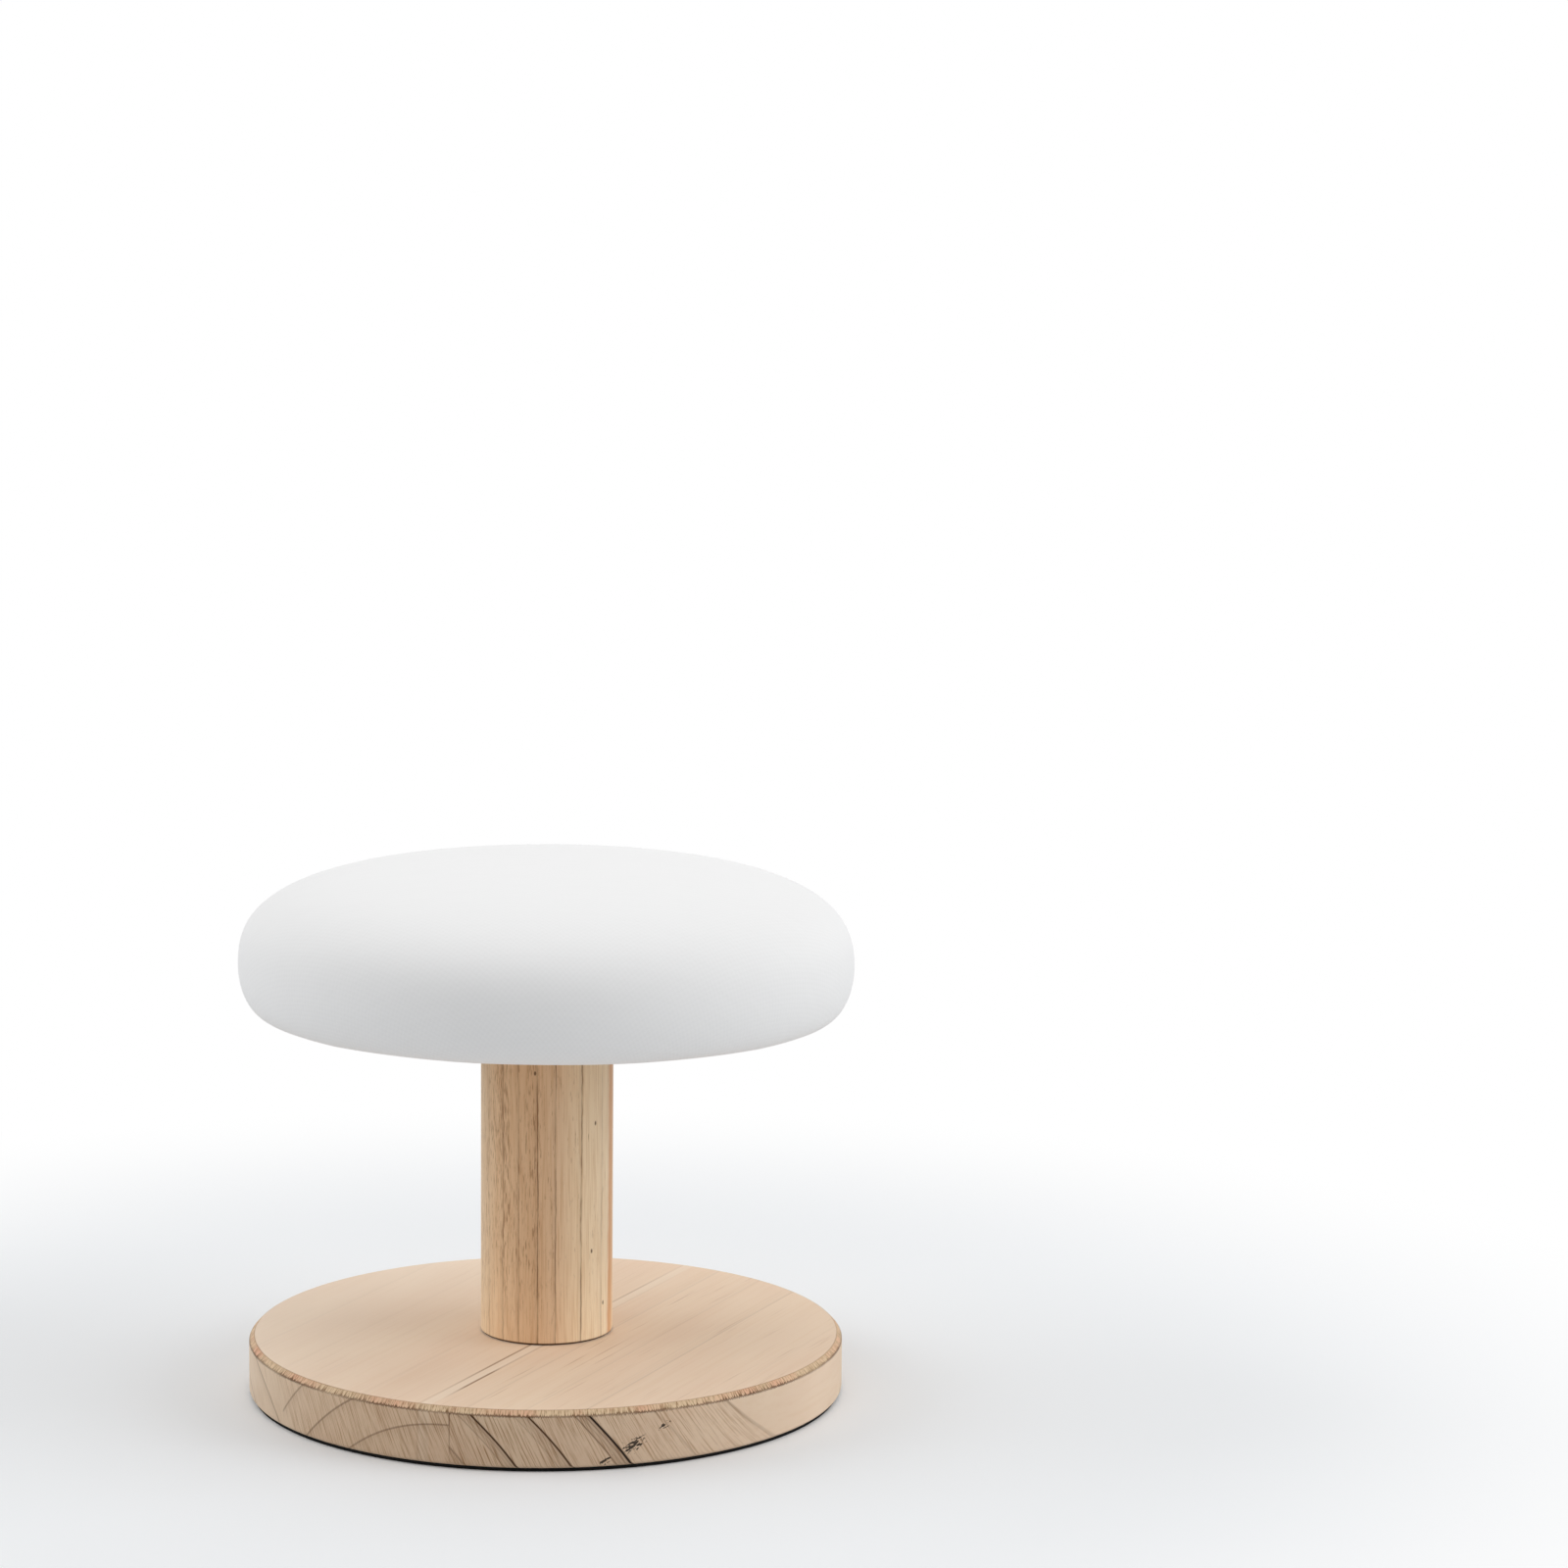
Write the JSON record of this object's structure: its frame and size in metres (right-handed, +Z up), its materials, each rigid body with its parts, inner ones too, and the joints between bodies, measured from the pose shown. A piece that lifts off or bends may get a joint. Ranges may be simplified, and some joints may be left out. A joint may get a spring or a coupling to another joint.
{
  "type": "tabletop ironing board",
  "caption": "Small round ironing stand: a domed, padded cotton pressing top on a round wooden post and a chamfered round wooden base with a non-slip sheet under it.",
  "frame": {"origin": "on the post's axis, on the surface that the stand rests on", "axes": "+Z up along the post, -Y towards the viewer of the picture, +X to that viewer's right"},
  "size_m": [0.1646, 0.1646, 0.1436],
  "materials": {
    "black_rubber": "matte",
    "base_pine": "satin",
    "post_pine": "satin",
    "plywood": "matte",
    "zinc_steel": "satin",
    "foam": "matte",
    "cotton_felt": "matte",
    "cotton_canvas": "matte"
  },
  "bodies": {
    "root": {"non_slip_pad": "black_rubber", "base_board": "base_pine", "post": "post_pine", "base_screw_1": "zinc_steel", "base_screw_2": "zinc_steel", "base_screw_3": "zinc_steel", "top_board": "plywood", "top_screw_1": "zinc_steel", "top_screw_2": "zinc_steel", "top_screw_3": "zinc_steel", "foam_pad": "foam", "wadding": "cotton_felt", "cover": "cotton_canvas", "staple_01": "zinc_steel", "staple_02": "zinc_steel", "staple_03": "zinc_steel", "staple_04": "zinc_steel", "staple_05": "zinc_steel", "staple_06": "zinc_steel", "staple_07": "zinc_steel", "staple_08": "zinc_steel", "staple_09": "zinc_steel", "staple_10": "zinc_steel", "staple_11": "zinc_steel", "staple_12": "zinc_steel"}
  },
  "joints": []
}
